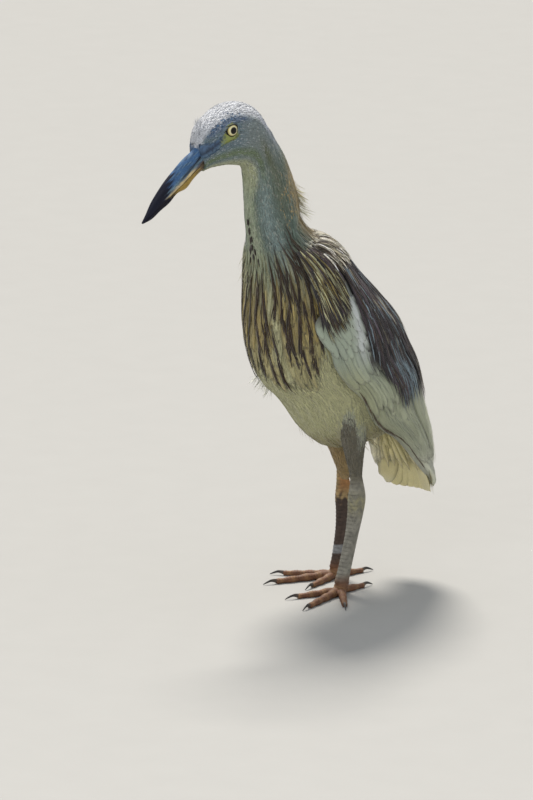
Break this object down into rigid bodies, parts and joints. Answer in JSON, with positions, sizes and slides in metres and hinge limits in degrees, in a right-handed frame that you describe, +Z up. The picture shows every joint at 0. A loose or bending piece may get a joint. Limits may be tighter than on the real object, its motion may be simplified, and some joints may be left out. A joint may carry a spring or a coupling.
{
  "type": "pond heron",
  "caption": "Life-size pond heron standing upright on both feet, its neck drawn in and its head bent down: a still model for scenes and displays.",
  "frame": {"origin": "on the ground under the middle of the bird's box", "axes": "+Z up, the bird faces -Y, its left side is +X"},
  "size_m": [0.1054, 0.2268, 0.3341],
  "materials": {
    "head_feathers": "soft feathers, pale grey",
    "neck_feathers": "soft feathers, grey-white to buff",
    "body_feathers": "long streaked feathers, buff and brown",
    "wing_feathers": "smooth white feathers",
    "tail_feathers": "smooth cream-white feathers",
    "thigh_feathers": "short soft feathers, grey-brown",
    "bill_horn_upper": "slate-blue horn with a blue-black tip",
    "bill_horn_lower": "tan horn with a black tip",
    "eye": "wet, pale yellow iris",
    "leg_skin": "dull scaly skin, grey-olive",
    "foot_skin": "dull scaly skin, reddish brown",
    "claw_horn": "dark horn"
  },
  "bodies": {
    "root": {"head": "head_feathers", "bill_upper": "bill_horn_upper", "bill_lower": "bill_horn_lower", "eye_left": "eye", "eye_right": "eye", "neck": "neck_feathers", "trunk": "body_feathers", "wing_left": "wing_feathers", "wing_right": "wing_feathers", "tail": "tail_feathers", "thigh_left": "thigh_feathers", "thigh_right": "thigh_feathers", "shank_left": "leg_skin", "shank_right": "leg_skin", "foot_left": "foot_skin", "foot_right": "foot_skin", "claw_left_middle": "claw_horn", "claw_left_inner": "claw_horn", "claw_left_outer": "claw_horn", "claw_left_hind": "claw_horn", "claw_right_middle": "claw_horn", "claw_right_inner": "claw_horn", "claw_right_outer": "claw_horn", "claw_right_hind": "claw_horn"}
  },
  "joints": []
}
